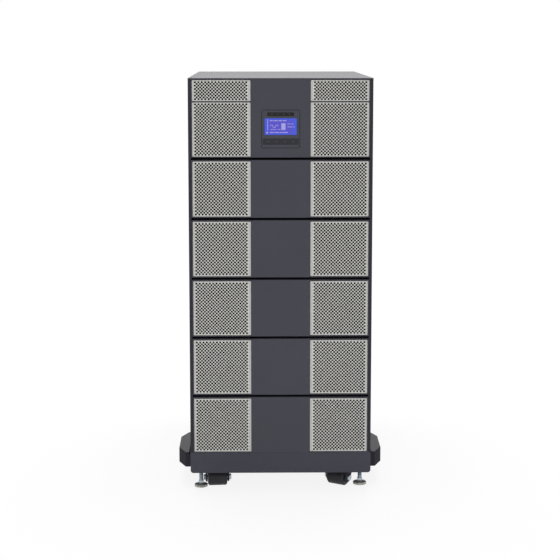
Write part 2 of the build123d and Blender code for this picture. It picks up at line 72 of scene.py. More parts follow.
CAD_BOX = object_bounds()
CABINET = "cabinet"
CORNERS = ("front_left", "front_right", "rear_left", "rear_right")
ROWS = ("row_2", "row_3", "row_4", "row_5", "row_6")
HEAD_GRILLES = ("head_upper_grilles", "head_lower_grilles")
GRILLE_NODES = HEAD_GRILLES + tuple(f"{row}_grilles" for row in ROWS)
SIDES = (-1, 1)

# Start of each finish's name, which keeps it apart from the frame's own materials
PREFIX = "tower_"

# Angle in degrees past which an edge is shaded sharp
CREASE = 35.0

# Distance at which vertices are one, and share of a size that still counts as the same place
MERGE = 1e-6
NEAR = 0.01

# Sides of the turned and punched shapes
HOLE_SIDES = 8
FASTENER_SIDES = 16
THUMB_SIDES = 20
WHEEL_SIDES = 40

# Steps in a rounded corner of a profile, a pan's corner and the bend round its face
ARC_STEPS = 3
CORNER_STEPS = 3
BEND_STEPS = 4


# Properties that a user would change

def length(name, default, description):
    """Length property in metres."""
    return bpy.props.FloatProperty(
        name=name, description=description, default=default, precision=5, unit="LENGTH"
    )


def angle(name, degrees, description):
    """Angle property, given in degrees."""
    return bpy.props.FloatProperty(
        name=name, description=description, default=radians(degrees), unit="ROTATION"
    )


def count(name, default, description):
    """Whole-number property."""
    return bpy.props.IntProperty(name=name, description=description, default=default)


def number(name, default, description, unit="NONE"):
    """Number property, with a unit where one fits."""
    return bpy.props.FloatProperty(
        name=name, description=description, default=default, precision=4, unit=unit
    )


def colour(name, default, description):
    """Linear colour property."""
    return bpy.props.FloatVectorProperty(
        name=name, description=description, default=default, subtype="COLOR", size=3, min=0.0, max=1.0
    )


class TowerFinishes(bpy.types.PropertyGroup):
    """Colours of the tower's finishes."""

    charcoal: colour("Charcoal coat", (0.038, 0.038, 0.048), "Powder coat of the cabinet sheets")
    base: colour("Base coat", (0.076, 0.076, 0.095), "Rougher coat of the skirt, base plate and forks")
    outrigger: colour("Outrigger coat", (0.044, 0.044, 0.054), "Matt coat of the stabilisers, smooth on top")
    moulding: colour("Moulding", (0.068, 0.068, 0.086), "Blue-grey plastic of the bezels")
    silver: colour("Grille silver", (0.712, 0.709, 0.675), "Warm silver paint of the grilles")
    interior: colour("Interior", (0.010, 0.010, 0.012), "Matt black of the inner sheets and modules")
    zinc: colour("Zinc", (0.42, 0.47, 0.51), "Bluish zinc plate of studs, axles and screws")
    pad: colour("Foot pad", (0.30, 0.295, 0.28), "Dull steel of the levelling pads")
    nylon: colour("Nylon", (0.040, 0.040, 0.046), "Black nylon of the wheels")
    keys: colour("Keys", (0.035, 0.035, 0.042), "Dark plastic of the keypad")
    strip: colour("Status strip", (0.022, 0.021, 0.023), "Black gloss of the status strip")
    lcd_middle: colour("Display middle", (0.062, 0.050, 0.44), "Back light in the middle of the display")
    lcd_edge: colour("Display edge", (0.022, 0.075, 0.62), "Back light along the edges of the display")
    lcd_marks: colour("Display marks", (0.30, 0.29, 0.60), "Lit marks on the display")
    lens_dark: colour("Lens dark", (0.020, 0.034, 0.024), "Darker tone in the lenses of the status lamps")
    lens_light: colour("Lens light", (0.045, 0.070, 0.050), "Lighter tone in the lenses of the status lamps")


class TowerGrilles(bpy.types.PropertyGroup):
    """Sizes of the perforated pans at the front and rear."""

    pitch: length("Hole pitch", 0.00790, "Spacing of the holes along a row of the front grilles")
    hole: length("Hole radius", 0.00254, "Radius of a hole in the front grilles")
    outer_margin: length("Outer margin", 0.0074, "From a front grille's outer edge to its first hole")
    row_margin: length("Row margin", 0.0046, "Least distance from a grille's end to its first row of holes")
    shadow_gap: length("Shadow gap", 0.0007, "Room above and below a grille under the head row")
    row_squeeze: number("Row squeeze", 1.03, "How far the rows of holes may close up to fit one more pair")
    columns: count("Columns", 16, "Holes in a long row of a front grille")
    sheet: length("Sheet", 0.0012, "Thickness of the pressed sheet")
    corner: length("Corner radius", 0.0016, "Radius of a pan's corners")
    bend: length("Bend radius", 0.0011, "Radius of the bend round a pan's face")
    centre_width: length("Centre panel", 0.1395, "Between the inner edges of the left and right grilles")
    rear_pitch: length("Rear pitch", 0.0100, "Spacing of the holes in the rear exhaust grilles")
    rear_hole: length("Rear hole radius", 0.0027, "Radius of a hole in the rear exhaust grilles")
    rear_columns: count("Rear columns", 15, "Holes in a long row of a rear exhaust grille")
    rear_lip: length("Rear lip", 0.0080, "Overlap of a rear grille on the panel round its window")
    rear_split: length("Rear split", 0.0400, "Distance between the left and right exhaust windows")
    rear_row_margin: length("Rear row margin", 0.0155, "From a row's end to its exhaust window")
    card_zone: length("Card zone", 0.0615, "Height kept for the accessory slots under the lid")
    rear_bend: length("Rear bend", 0.0006, "Rounding of a rear grille's edge")
    rear_sheet: number("Rear sheet", 0.8, "Share of a rear grille's depth that is sheet")


class TowerDisplay(bpy.types.PropertyGroup):
    """Marks on the display, the status strip and the keys."""

    mark_rise: length("Mark rise", 0.00006, "Height of the lit marks over the display")
    lamp_radius: length("Lamp radius", 0.0013, "Radius of a status lamp")
    lamp_pitch: length("Lamp pitch", 0.0135, "Spacing of the status lamps")
    lamp_rise: length("Lamp rise", 0.00025, "Height of a status lamp over its strip")
    key_pitch: length("Key pitch", 0.0195, "Spacing of the keys")
    key_mark: length("Key mark", 0.0048, "Size of the mark on a key")
    key_line: length("Key line", 0.0007, "Width of the lines of a key's mark")


class TowerFittings(bpy.types.PropertyGroup):
    """Screws, rivets, wheels and feet."""

    screw_radius: length("Screw radius", 0.0042, "Radius of a panel screw's head")
    screw_height: length("Screw height", 0.0020, "Height of a panel screw's head")
    thumb_radius: length("Thumb screw radius", 0.0048, "Radius of a slot cover's thumb screw")
    thumb_height: length("Thumb screw height", 0.0080, "Height of a slot cover's thumb screw")
    rivet_radius: length("Rivet radius", 0.0042, "Radius of a caster plate's rivet")
    rivet_height: length("Rivet height", 0.0018, "Height of a caster plate's rivet")
    thread_pitch: length("Thread pitch", 0.0015, "Pitch of a levelling stud's thread")
    thread_depth: length("Thread depth", 0.0007, "Depth of a levelling stud's thread")


class TowerStage(bpy.types.PropertyGroup):
    """Camera, lamps and floor."""

    camera_place: bpy.props.FloatVectorProperty(
        name="Camera", description="Place of the camera", default=(-0.0550, -3.8925, 1.0770),
        subtype="TRANSLATION",
    )
    pitch: angle("Tilt", 7.774, "Downward tilt of the camera")
    yaw: angle("Turn", 0.867, "Turn of the camera to the right")
    lens: number("Lens", 97.86, "Focal length in millimetres", "CAMERA")
    shift: number("Shift", -0.06, "Vertical shift of the lens")
    floor_size: length("Floor", 24.0, "Side of the floor")
    near_white: number("Near white", 0.88, "Share of plain white in the floor close to the tower")
    shadow_near: length("Shadow near", 0.5, "Distance at which the shadow on the floor starts to fade")
    shadow_far: length("Shadow far", 1.4, "Distance at which the floor is plain white")
    ambient: number("Ambient", 0.66, "Strength of the studio's light from the front, the back and above")
    side_fall: number("Side fall", 0.9, "Share of the studio's light that is missing at its dark side walls")
    key_power: number("Key lamp", 22.0, "Power of the large lamp in front on the left", "POWER")
    fill_power: number("Fill lamp", 14.0, "Power of the large lamp in front on the right", "POWER")
    top_power: number("Top lamp", 90.0, "Power of the lamp overhead", "POWER")


# Shader nodes

class Term:
    """A socket that can stand in arithmetic; each operation adds a Math node."""

    def __init__(self, shader, socket):
        self.shader = shader
        self.socket = socket

    def math(self, operation, first, second):
        """Math node on two values."""
        return self.shader.node("ShaderNodeMath", {"operation": operation}, {0: first, 1: second})

    def __add__(self, other):
        return self.math("ADD", self, other)

    def __radd__(self, other):
        return self.math("ADD", other, self)

    def __sub__(self, other):
        return self.math("SUBTRACT", self, other)

    def __rsub__(self, other):
        return self.math("SUBTRACT", other, self)

    def __mul__(self, other):
        return self.math("MULTIPLY", self, other)

    def __rmul__(self, other):
        return self.math("MULTIPLY", other, self)

    def __truediv__(self, other):
        return self.math("DIVIDE", self, other)

    def __rtruediv__(self, other):
        return self.math("DIVIDE", other, self)

    def __pow__(self, other):
        return self.math("POWER", self, other)

    def __rpow__(self, other):
        return self.math("POWER", other, self)

    def __abs__(self):
        return self.math("ABSOLUTE", self, 0.0)

    def larger(self, other):
        """The larger of two values."""
        return self.math("MAXIMUM", self, other)


class Shader:
    """A node tree being filled, with one method that makes its nodes."""

    MIX_FACTOR, MIX_A, MIX_B, MIX_RESULT = 0, 6, 7, 2

    def __init__(self, tree):
        self.tree = tree
        self.tree.nodes.clear()

    def node(self, kind, settings=None, inputs=None, output=0):
        """Make a node from its type, its settings and the values or links of its sockets."""
        made = self.tree.nodes.new(kind)
        for key, value in (settings or {}).items():
            if key == "stops":
                self.set_stops(made.color_ramp, value)
            else:
                setattr(made, key, value)
        for key, value in (inputs or {}).items():
            if isinstance(value, Term):
                self.tree.links.new(value.socket, made.inputs[key])
            else:
                made.inputs[key].default_value = value
        return Term(self, made.outputs[output]) if len(made.outputs) else None

    @staticmethod
    def set_stops(ramp, stops):
        """Set a ramp's stops from pairs of a position and a grey."""
        while len(ramp.elements) < len(stops):
            ramp.elements.new(1.0)
        for element, (position, grey) in zip(ramp.elements, stops):
            element.position = position
            element.color = (grey, grey, grey, 1.0)

    def place(self, stretch=(1.0, 1.0, 1.0)):
        """Object coordinates, stretched along the axes."""
        where = self.node("ShaderNodeTexCoord", output="Object")
        return self.node("ShaderNodeMapping", {}, {"Vector": where, "Scale": stretch})

    def axis(self, name):
        """Object coordinate along one axis."""
        where = self.node("ShaderNodeTexCoord", output="Object")
        return self.node("ShaderNodeSeparateXYZ", {}, {0: where}, name)

    def noise(self, scale, detail=2.0, stretch=(1.0, 1.0, 1.0)):
        """Soft noise on Object coordinates."""
        return self.node(
            "ShaderNodeTexNoise", {}, {"Vector": self.place(stretch), "Scale": scale, "Detail": detail}
        )

    def cells(self, scale):
        """Distance to the middle of scattered cells."""
        return self.node("ShaderNodeTexVoronoi", {}, {"Vector": self.place(), "Scale": scale})

    def ramp(self, value, *stops):
        """Ramp between stops of a position and a grey."""
        return self.node("ShaderNodeValToRGB", {"stops": stops}, {0: value})

    def blend(self, mask, first, second):
        """Colour between two colours, the second where the mask is one."""
        return self.node(
            "ShaderNodeMix", {"data_type": "RGBA"},
            {self.MIX_FACTOR: mask, self.MIX_A: first, self.MIX_B: second}, self.MIX_RESULT,
        )

    def rise(self, value, start, end):
        """Zero up to a start, then a straight rise to one at an end."""
        return self.node("ShaderNodeMapRange", {}, {"Value": value, "From Min": start, "From Max": end})

    def bump(self, height, distance):
        """Normal of a surface raised by up to a distance."""
        return self.node("ShaderNodeBump", {}, {"Height": height, "Distance": distance, "Strength": 1.0})

    def surface(self, sockets):
        """Principled surface as the material's output."""
        made = self.node("ShaderNodeBsdfPrincipled", {}, sockets)
        self.node("ShaderNodeOutputMaterial", {}, {"Surface": made})


# Finishes

def shade(tone, factor):
    """A colour made lighter or darker, with its alpha."""
    return tuple(min(1.0, channel * factor) for channel in tone) + (1.0,)


def new_shader(name):
    """Empty material and the shader that fills it."""
    material = bpy.data.materials.new(PREFIX + name)
    material.use_nodes = True
    return material, Shader(material.node_tree)


def pebbled(name, tone, grain, depth, roughness, spread, sheen):
    """Paint or moulding with a fine pebbled grain and slow shifts of tone."""
    drift_scale, fleck_scale = 5.0, 0.6 * grain
    fleck_share, gloss_spread = 0.35, 0.16
    material, shader = new_shader(name)
    drift = shader.ramp(shader.noise(drift_scale, detail=4.0), (0.3, 0.0), (0.7, 1.0))
    pebble = shader.noise(grain)
    fleck = shader.cells(fleck_scale)
    base = shader.blend(drift, shade(tone, 1.0 - spread), shade(tone, 1.0 + spread))
    speckled = shader.blend(fleck * fleck_share, base, shade(tone, 1.0 + 3.0 * spread))
    shader.surface({
        "Base Color": speckled,
        "Roughness": roughness + gloss_spread * (pebble - 0.5),
        "Specular IOR Level": sheen,
        "Normal": shader.bump(pebble, depth),
    })
    return material


def charcoal_coat(tones):
    """Fine-textured powder coat of the cabinet sheets."""
    return pebbled(
        "charcoal_coat", tones.charcoal, grain=1100.0, depth=0.00008, roughness=0.36, spread=0.06, sheen=0.45
    )


def side_coat(tones):
    """The same coat on the side sheets, rubbed duller."""
    return pebbled(
        "side_coat", tones.charcoal, grain=1100.0, depth=0.00008, roughness=0.52, spread=0.06, sheen=0.11
    )


def base_coat(tones):
    """Coarser, duller coat of the skirt, the base plate and the forks."""
    return pebbled(
        "base_coat", tones.base, grain=800.0, depth=0.00010, roughness=0.60, spread=0.06, sheen=0.03
    )


def outrigger_coat(tones):
    """Matt coat of the stabilisers, worn smooth on their flat tops."""
    worn_from, worn_whole = 0.0010, 0.0002
    material, shader = new_shader("outrigger_coat")
    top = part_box("left_stabiliser")[1].z
    worn = shader.rise(shader.axis("Z"), top - worn_from, top - worn_whole)
    pebble = shader.noise(1000.0)
    shader.surface({
        "Base Color": shader.blend(pebble, shade(tones.outrigger, 0.90), shade(tones.outrigger, 1.10)),
        "Roughness": 0.90 - 0.72 * worn,
        "Specular IOR Level": 0.035,
        "Normal": shader.bump(pebble, 0.00001),
    })
    return material


def bezel_moulding(tones):
    """Finely grained blue-grey moulding of the bezels."""
    return pebbled(
        "bezel_moulding", tones.moulding, grain=1700.0, depth=0.00005, roughness=0.50, spread=0.05,
        sheen=0.15,
    )


def display_moulding(tones):
    """Smoother moulding of the display housing."""
    return pebbled(
        "display_moulding", tones.moulding, grain=2400.0, depth=0.00003, roughness=0.42, spread=0.04,
        sheen=0.15,
    )


def key_moulding(tones):
    """Satin plastic of the keys."""
    return pebbled(
        "key_moulding", tones.keys, grain=2400.0, depth=0.00003, roughness=0.38, spread=0.05, sheen=0.15
    )


def inner_coat(tones):
    """Matt black of the inner sheets, with a little settled dust."""
    return pebbled(
        "inner_coat", tones.interior, grain=900.0, depth=0.00008, roughness=0.70, spread=0.20, sheen=0.05
    )


def module_shell(tones):
    """Dark shell of the plug-in modules."""
    return pebbled(
        "module_shell", tones.interior, grain=600.0, depth=0.00012, roughness=0.62, spread=0.15, sheen=0.05
    )


def depth_inside(value, low, high):
    """How far a value lies inside a span, from the span's nearer end."""
    return (high - low) / 2 - abs(value - (high + low) / 2)


def grille_paint(tones):
    """Warm silver paint on pressed sheet with faint vertical drawing marks, and painted shade on its plain rims.
    """
    # Distances from a pan's sides and ends over which the painted shade on its rims fades into the punched field
    side_rim, end_rim = (0.0050, 0.0066), (0.0030, 0.0044)
    material, shader = new_shader("grille_paint")
    drawn = shader.noise(160.0, detail=3.0, stretch=(1.0, 1.0, 0.06))
    grain = shader.noise(2600.0)
    drift = shader.noise(9.0, detail=3.0)
    upward = shader.axis("Z")
    boxes = [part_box(node) for node in GRILLE_NODES]
    inner = bpy.context.scene.tower_grilles.centre_width / 2
    outer = boxes[0][1].x
    from_side = depth_inside(abs(shader.axis("X")), inner, outer)
    from_end = reduce(Term.larger, [depth_inside(upward, low.z, high.z) for low, high in boxes])
    punched = shader.rise(from_side, *side_rim) * shader.rise(from_end, *end_rim)
    base = shader.blend(drift, shade(tones.silver, 0.94), shade(tones.silver, 1.06))
    # Painted shade: the plain rims get a darker silver, standing in for the shade where the pan bends away
    rim_shaded = shader.blend(punched, shade(tones.silver, 0.75), base)
    marked = shader.blend(drawn * 0.3, rim_shaded, shade(tones.silver, 0.82))
    shader.surface({
        "Base Color": marked,
        "Metallic": 0.15 + 0.1 * grain,
        "Roughness": 0.36 + 0.14 * grain,
        "Normal": shader.bump(grain, 0.00003),
    })
    return material


def zinc_plate(tones):
    """Bright zinc plate with cloudy tone and fine turning marks."""
    material, shader = new_shader("zinc_plate")
    cloud = shader.ramp(shader.noise(120.0, detail=4.0), (0.35, 0.0), (0.65, 1.0))
    marks = shader.noise(900.0, detail=3.0, stretch=(0.15, 0.15, 1.0))
    base = shader.blend(cloud, shade(tones.zinc, 0.78), shade(tones.zinc, 1.12))
    shader.surface({
        "Base Color": base,
        "Metallic": 1.0,
        "Roughness": 0.22 + 0.16 * marks,
        "Normal": shader.bump(marks, 0.00003),
    })
    return material


def pad_steel(tones):
    """Dull steel of a levelling pad, stained in patches."""
    material, shader = new_shader("pad_steel")
    stain = shader.ramp(shader.noise(160.0, detail=4.0), (0.40, 0.0), (0.62, 1.0))
    grain = shader.noise(1400.0)
    base = shader.blend(stain, shade(tones.pad, 0.7), shade(tones.pad, 1.3))
    shader.surface({
        "Base Color": base,
        "Metallic": 0.7 + 0.2 * stain,
        "Roughness": 0.34 + 0.16 * grain,
        "Normal": shader.bump(grain, 0.00004),
    })
    return material


def wheel_nylon(tones):
    """Black nylon with turning marks and a scuffed tread."""
    material, shader = new_shader("wheel_nylon")
    scuff = shader.ramp(shader.noise(70.0, detail=5.0), (0.52, 0.0), (0.74, 1.0))
    grain = shader.noise(1500.0)
    base = shader.blend(scuff * 0.5, shade(tones.nylon, 1.0), shade(tones.nylon, 2.4))
    shader.surface({
        "Base Color": base,
        "Roughness": 0.46 + 0.2 * scuff,
        "Specular IOR Level": 0.2,
        "Normal": shader.bump(grain, 0.00006),
    })
    return material


def status_gloss(tones):
    """Black gloss strip with a faint smear."""
    material, shader = new_shader("status_gloss")
    smear = shader.noise(45.0, detail=3.0, stretch=(0.3, 1.0, 1.0))
    base = shader.blend(smear, shade(tones.strip, 0.7), shade(tones.strip, 1.6))
    shader.surface({"Base Color": base, "Roughness": 0.14 + 0.12 * smear, "Specular IOR Level": 0.06})
    return material


def display_glass(tones):
    """Back-lit display, bluer towards its edges, behind a clear window."""
    material, shader = new_shader("display_glass")
    low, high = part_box("display_window")
    middle = (low + high) / 2
    half = (high - low) / 2
    across = abs(shader.axis("X") - middle.x) / half.x
    upward = abs(shader.axis("Z") - middle.z) / half.z
    from_middle = across.larger(upward)
    mottle = shader.noise(90.0, detail=3.0)
    rim = from_middle ** 5.0 + 0.35 * (mottle - 0.5)
    glow = shader.blend(rim, shade(tones.lcd_middle, 1.0), shade(tones.lcd_edge, 1.0))
    shader.surface({
        "Base Color": glow,
        "Emission Color": glow,
        "Emission Strength": 0.45,
        "Roughness": 0.16 + 0.06 * mottle,
    })
    return material


def display_marks(tones):
    """Lit marks on the display, slightly uneven."""
    material, shader = new_shader("display_marks")
    mottle = shader.noise(300.0, detail=3.0)
    glow = shader.blend(mottle, shade(tones.lcd_marks, 0.75), shade(tones.lcd_marks, 1.25))
    shader.surface({"Base Color": glow, "Emission Color": glow, "Emission Strength": 0.4, "Roughness": 0.2})
    return material


def lamp_lens(tones):
    """Smoked lens of a status lamp."""
    material, shader = new_shader("lamp_lens")
    cloud = shader.noise(700.0)
    base = shader.blend(cloud, shade(tones.lens_dark, 1.0), shade(tones.lens_light, 1.0))
    shader.surface({"Base Color": base, "Roughness": 0.18 + 0.08 * cloud, "Coat Weight": 0.6})
    return material


def key_print(tones):
    """Grey print of the marks on the keys."""
    material, shader = new_shader("key_print")
    worn = shader.noise(900.0, detail=3.0)
    base = shader.blend(worn, shade(tones.keys, 1.8), shade(tones.keys, 3.4))
    shader.surface({"Base Color": base, "Roughness": 0.45 + 0.1 * worn})
    return material


SLOT_FINISHES = {
    "chassis_paint": charcoal_coat,
    "inner_black": inner_coat,
    "bezel_plastic": bezel_moulding,
    "grille_metal": grille_paint,
    "display_plastic": display_moulding,
    "display_glass": display_glass,
    "status_gloss": status_gloss,
    "key_plastic": key_moulding,
    "zinc_plate": zinc_plate,
    "module_case": module_shell,
    "wheel_nylon": wheel_nylon,
}
NODE_FINISHES = {
    "left_side_panel": side_coat,
    "right_side_panel": side_coat,
    "base_skirt": base_coat,
    "base_plate": base_coat,
    "left_stabiliser": outrigger_coat,
    "right_stabiliser": outrigger_coat,
}
NODE_FINISHES.update({f"{corner}_caster_fork": base_coat for corner in CORNERS})


def finish(make):
    """Material of one finish, made the first time it is asked for."""
    made = bpy.data.materials.get(PREFIX + make.__name__)
    return made or make(bpy.context.scene.tower_finishes)


# Mesh helpers

def only(geom, kind):
    """The vertices, edges or faces among some geometry."""
    return [item for item in geom if isinstance(item, kind)]


def evenly_spaced(total, pitch):
    """Places in a row about the middle."""
    return [(index - (total - 1) / 2) * pitch for index in range(total)]


def joint(name):
    """A joint of the frame."""
    return next(entry for entry in frame["joints"] if entry["name"] == name)


def template(bm, name):
    """Mesh kept for stamping copies."""
    mesh = bpy.data.meshes.new(name)
    bm.to_mesh(mesh)
    bm.free()
    return mesh


def stamp(bm, mesh, place):
    """Add a copy of a template mesh at a place."""
    start = len(bm.verts)
    bm.from_mesh(mesh)
    bm.verts.ensure_lookup_table()
    bmesh.ops.transform(bm, matrix=place, verts=bm.verts[start:])


def facing(point, normal):
    """Placement that turns +Z to a normal at a point."""
    turn = Vector(normal).to_track_quat("Z", "Y").to_matrix().to_4x4()
    return Matrix.Translation(point) @ turn


def close_rims(bm):
    """Close the open rims of a mesh and point its faces outwards."""
    bmesh.ops.holes_fill(bm, edges=[edge for edge in bm.edges if edge.is_boundary], sides=0)
    bmesh.ops.recalc_face_normals(bm, faces=bm.faces)


def new_piece(name, bm, slot, body=CABINET, make=None, replaced=()):
    """Turn a bmesh into a finished piece that rides on a body."""
    mesh = bpy.data.meshes.new(name)
    bm.to_mesh(mesh)
    bm.free()
    mesh.shade_smooth()
    mesh.set_sharp_from_angle(angle=radians(CREASE))
    mesh.materials.append(finish(make or SLOT_FINISHES[slot]))
    piece = bpy.data.objects.new(name, mesh)
    bpy.context.scene.collection.objects.link(piece)
    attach(piece, body)
    if replaced:
        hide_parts(*replaced)
    return piece


def turned(profile, segments):
    """Profile of radius and height, spun a full turn about Z."""
    bm = bmesh.new()
    verts = [bm.verts.new((radius, 0.0, height)) for radius, height in profile]
    edges = [bm.edges.new(pair) for pair in zip(verts, verts[1:])]
    bmesh.ops.spin(
        bm, geom=verts + edges, cent=(0, 0, 0), axis=(0, 0, 1), dvec=(0, 0, 0), angle=tau, steps=segments,
        use_merge=True, use_duplicate=False,
    )
    bmesh.ops.remove_doubles(bm, verts=bm.verts, dist=MERGE)
    bmesh.ops.recalc_face_normals(bm, faces=bm.faces)
    return bm


def rounded(corner, start, end, radius):
    """Points of an arc that rounds a corner of a profile between its two neighbours."""
    corner, start, end = Vector(corner), Vector(start), Vector(end)
    to_start = (start - corner).normalized()
    to_end = (end - corner).normalized()
    half = to_start.angle(to_end) / 2
    reach = radius / tan(half)
    centre = corner + (to_start + to_end).normalized() * (radius / sin(half))
    first = corner + to_start * reach - centre
    last = corner + to_end * reach - centre
    sweep = first.angle_signed(last)
    points = []
    for step in range(ARC_STEPS + 1):
        turn = Matrix.Rotation(-sweep * step / ARC_STEPS, 2)
        points.append(tuple(centre + turn @ first))
    return points


def softened(profile, radius):
    """Profile with every inner corner rounded."""
    points = [profile[0]]
    for before, corner, after in zip(profile, profile[1:], profile[2:]):
        points += rounded(corner, before, after, radius)
    return points + [profile[-1]]


# Perforated pans

def perforated_field(bm, columns, rows, pitch, radius):
    """Flat field of diamond cells with a round hole each, in staggered rows, centred on the origin."""
    ring = bmesh.ops.create_circle(bm, cap_ends=False, segments=HOLE_SIDES, radius=radius)["verts"]
    rim = {edge for vert in ring for edge in vert.link_edges}
    grown = bmesh.ops.extrude_edge_only(bm, edges=list(rim))["geom"]
    outer = only(grown, BMVert)
    points = [vert for vert in outer if min(abs(vert.co.x), abs(vert.co.y)) < radius * NEAR]
    flanks = [vert for vert in outer if vert not in points]
    tip = pitch / 2 / radius
    flank = pitch / (2 * sqrt(2)) / radius
    bmesh.ops.scale(bm, vec=(tip, tip, 1), verts=points)
    bmesh.ops.scale(bm, vec=(flank, flank, 1), verts=flanks)
    bmesh.ops.translate(bm, vec=(-(columns - 1) * pitch / 2, -(rows - 1) * pitch / 4, 0), verts=bm.verts)
    cell = bm.verts[:] + bm.edges[:] + bm.faces[:]
    short_row = []
    long_row = list(cell)
    for column in range(1, columns):
        long_row += copied(bm, cell, (column * pitch, 0, 0))
    for column in range(columns - 1):
        short_row += copied(bm, cell, ((column + 0.5) * pitch, pitch / 2, 0))
    for pair in range(1, rows // 2 + 1):
        copied(bm, long_row, (0, pair * pitch, 0))
        if pair < rows // 2:
            copied(bm, short_row, (0, pair * pitch, 0))
    bmesh.ops.remove_doubles(bm, verts=bm.verts, dist=MERGE)


def copied(bm, geom, offset):
    """Moved copy of some geometry."""
    made = bmesh.ops.duplicate(bm, geom=geom)["geom"]
    bmesh.ops.translate(bm, vec=offset, verts=only(made, BMVert))
    return made


def fitted_field(bm, height, columns, pitch, radius, row_margin, limit):
    """Outer edges of a perforated field with as many rows as a pan takes, its tips inside a limit."""
    room = height - 2 * row_margin
    rows = 2 * int(bpy.context.scene.tower_grilles.row_squeeze * room / pitch) + 1
    squeeze = min(1.0, room / ((rows - 1) * pitch / 2))
    perforated_field(bm, columns, rows, pitch, radius)
    bmesh.ops.scale(bm, vec=(1, squeeze, 1), verts=bm.verts)
    cell_side = pitch / (2 * sqrt(2))
    hole_side = 2 * radius * sin(pi / HOLE_SIDES)
    between = (cell_side + hole_side) / 2
    border = [edge for edge in bm.edges if edge.is_boundary and edge.calc_length() > between]
    tip = squeeze * (rows + 1) * pitch / 4
    for end in SIDES:
        tips = [vert for vert in bm.verts if vert.co.y * end > tip - pitch * NEAR]
        bmesh.ops.translate(bm, vec=(0, end * min(limit - tip, 0.0), 0), verts=tips)
    return border


def pan_template(name, size, columns, pitch, radius, field_shift, corner, bend, depth, row_margin):
    """Perforated pan with rounded corners and a turned-back flange, facing -Y, centred on the origin."""
    flat = (size[0] / 2 - bend, size[1] / 2 - bend)
    bm = bmesh.new()
    border = fitted_field(bm, size[1], columns, pitch, radius, row_margin, flat[1] - bend / 2)
    bmesh.ops.translate(bm, vec=(field_shift, 0, 0), verts=bm.verts)
    plate = bmesh.ops.create_grid(bm, x_segments=1, y_segments=1, size=1.0)["verts"]
    bmesh.ops.scale(bm, vec=(flat[0], flat[1], 1), verts=plate)
    reach = corner - bend
    bmesh.ops.bevel(
        bm, geom=plate, offset=reach, affect="VERTICES", segments=CORNER_STEPS, profile=0.5, material=-1
    )
    blank = next(face for face in bm.faces if len(face.verts) > 4)
    rim = list(blank.edges)
    bmesh.ops.delete(bm, geom=[blank], context="FACES_ONLY")
    bmesh.ops.triangle_fill(bm, use_beauty=True, use_dissolve=False, edges=border + rim)
    for step in range(1, BEND_STEPS + 1):
        turn = step / BEND_STEPS * pi / 2
        grown = corner - bend + bend * sin(turn)
        rim = turned_back(bm, rim, size, corner, grown / reach, bend * (1 - cos(turn)))
        reach = grown
    turned_back(bm, rim, size, corner, 1.0, depth)
    bmesh.ops.recalc_face_normals(bm, faces=bm.faces)
    bm.normal_update()
    if sum(face.normal.z for face in bm.faces) < 0:
        bmesh.ops.reverse_faces(bm, faces=bm.faces)
    bmesh.ops.rotate(bm, cent=(0, 0, 0), matrix=Matrix.Rotation(pi / 2, 3, "X"), verts=bm.verts)
    return template(bm, name)


def turned_back(bm, rim, size, corner, growth, depth):
    """Extrude a pan's rim outwards round its corners and back to a depth."""
    grown = bmesh.ops.extrude_edge_only(bm, edges=rim)["geom"]
    verts = only(grown, BMVert)
    for side in SIDES:
        for end in SIDES:
            centre = Vector((side * (size[0] / 2 - corner), end * (size[1] / 2 - corner), 0))
            own = [vert for vert in verts if vert.co.x * side > 0 and vert.co.y * end > 0]
            bmesh.ops.scale(bm, vec=(growth, growth, 1), verts=own, space=Matrix.Translation(-centre))
    level = sum(vert.co.z for vert in verts) / len(verts)
    bmesh.ops.translate(bm, vec=(0, 0, -depth - level), verts=verts)
    return only(grown, BMEdge)


def give_thickness(piece, sheet):
    """Solidify a pan inwards from its face."""
    wall = piece.modifiers.new("sheet", "SOLIDIFY")
    wall.thickness = sheet
    wall.offset = -1.0


# Operators

class TOWER_OT_paint_nodes(bpy.types.Operator):
    """Give each carried-over solid its own finish or that of its material slot"""

    bl_idname = "tower.paint_nodes"
    bl_label = "Paint Solids"

    def execute(self, context):
        for entry in frame["record"]["subparts"]:
            node = frame["nodes"][entry["node"]]
            make = NODE_FINISHES.get(entry["node"], SLOT_FINISHES[entry["material_slot"]])
            node.data.materials.clear()
            node.data.materials.append(finish(make))
        return {"FINISHED"}


class TOWER_OT_front_grilles(bpy.types.Operator):
    """Press the perforated pans beside the centre panels"""

    bl_idname = "tower.front_grilles"
    bl_label = "Front Grilles"

    def execute(self, context):
        sizes = context.scene.tower_grilles
        patterns = {}
        for node in GRILLE_NODES:
            low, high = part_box(node)
            width = high.x - sizes.centre_width / 2
            gap = 0.0 if node in HEAD_GRILLES else sizes.shadow_gap
            height = high.z - low.z - 2 * gap
            key = round(height, 5)
            if key not in patterns:
                field_half = (sizes.columns - 1) * sizes.pitch / 2
                shift = width / 2 - sizes.outer_margin - field_half
                patterns[key] = pan_template(
                    f"{node}_pattern", (width, height), columns=sizes.columns, pitch=sizes.pitch,
                    radius=sizes.hole, field_shift=shift, corner=sizes.corner, bend=sizes.bend,
                    depth=high.y - low.y, row_margin=sizes.row_margin,
                )
            bm = bmesh.new()
            centre = Vector(((sizes.centre_width + width) / 2, low.y, (low.z + high.z) / 2))
            stamp(bm, patterns[key], Matrix.Translation(centre))
            centre.x = -centre.x
            stamp(bm, patterns[key], Matrix.Translation(centre) @ Matrix.Rotation(pi, 4, "Y"))
            piece = new_piece(f"{node}_perforated", bm, "grille_metal", replaced=(node,))
            give_thickness(piece, sizes.sheet)
        return {"FINISHED"}


